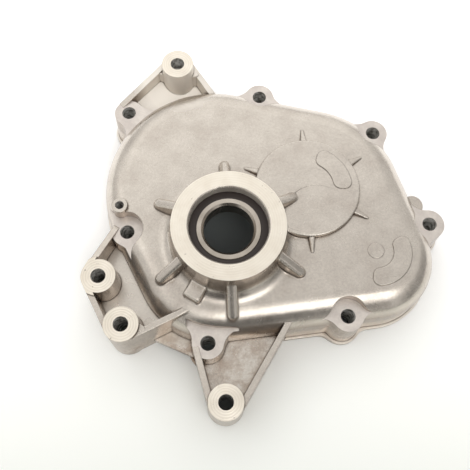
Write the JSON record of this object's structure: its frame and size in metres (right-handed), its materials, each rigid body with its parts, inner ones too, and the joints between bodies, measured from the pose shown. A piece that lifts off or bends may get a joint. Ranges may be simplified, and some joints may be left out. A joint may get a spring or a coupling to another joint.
{
  "type": "transmission case",
  "caption": "Die-cast aluminium gearbox end case with output hub, ball bearings, flange ears and mounting brackets.",
  "frame": {"origin": "where the output hub's axis meets the mating face", "axes": "+Z along the output hub's axis, from the mating face towards the hub's face; +Y towards the top mounting boss; +X towards the input lobe"},
  "size_m": [0.2307, 0.2422, 0.063],
  "materials": {
    "cast_aluminium": "shot-blasted die casting with machined faces",
    "ring_steel": "ground",
    "ball_steel": "polished",
    "cage_steel": "pressed sheet",
    "seal_rubber": "moulded, satin",
    "spring_steel": "phosphated"
  },
  "bodies": {
    "case": {"case_casting": "cast_aluminium", "output_bearing_outer_ring": "ring_steel", "output_bearing_front_seal": "seal_rubber", "output_bearing_rear_seal": "seal_rubber", "output_bearing_circlip": "spring_steel", "layshaft_bearing_outer_ring": "ring_steel", "input_bearing_outer_ring": "ring_steel"},
    "output_inner_ring": {"output_bearing_inner_ring": "ring_steel"},
    "output_ball_set": {"output_bearing_balls": "ball_steel", "output_bearing_cage_front": "cage_steel", "output_bearing_cage_rear": "cage_steel", "output_bearing_rivets": "cage_steel"},
    "layshaft_inner_ring": {"layshaft_bearing_inner_ring": "ring_steel"},
    "layshaft_ball_set": {"layshaft_bearing_balls": "ball_steel", "layshaft_bearing_cage_front": "cage_steel", "layshaft_bearing_cage_rear": "cage_steel", "layshaft_bearing_rivets": "cage_steel"},
    "input_inner_ring": {"input_bearing_inner_ring": "ring_steel"},
    "input_ball_set": {"input_bearing_balls": "ball_steel", "input_bearing_cage_front": "cage_steel", "input_bearing_cage_rear": "cage_steel", "input_bearing_rivets": "cage_steel"}
  },
  "joints": [
    {"name": "output_ring_turn", "type": "hinge", "parent": "case", "child": "output_inner_ring", "pos_m": [0, 0, 0.0495], "axis": [0, 0, 1], "continuous": true},
    {"name": "output_ball_set_turn", "type": "hinge", "parent": "case", "child": "output_ball_set", "pos_m": [0, 0, 0.0495], "axis": [0, 0, 1], "continuous": true},
    {"name": "layshaft_ring_turn", "type": "hinge", "parent": "case", "child": "layshaft_inner_ring", "pos_m": [0.05, 0.0333, 0.0295], "axis": [0, 0, 1], "continuous": true},
    {"name": "layshaft_ball_set_turn", "type": "hinge", "parent": "case", "child": "layshaft_ball_set", "pos_m": [0.05, 0.0333, 0.0295], "axis": [0, 0, 1], "continuous": true},
    {"name": "input_ring_turn", "type": "hinge", "parent": "case", "child": "input_inner_ring", "pos_m": [0.0906, -0.0077, 0.0275], "axis": [0, 0, 1], "continuous": true},
    {"name": "input_ball_set_turn", "type": "hinge", "parent": "case", "child": "input_ball_set", "pos_m": [0.0906, -0.0077, 0.0275], "axis": [0, 0, 1], "continuous": true}
  ],
  "couplings": [
    {"joint": "output_ball_set_turn", "follows": "output_ring_turn", "ratio": 0.41595},
    {"joint": "layshaft_ball_set_turn", "follows": "layshaft_ring_turn", "ratio": 0.39691},
    {"joint": "input_ball_set_turn", "follows": "input_ring_turn", "ratio": 0.38163}
  ]
}
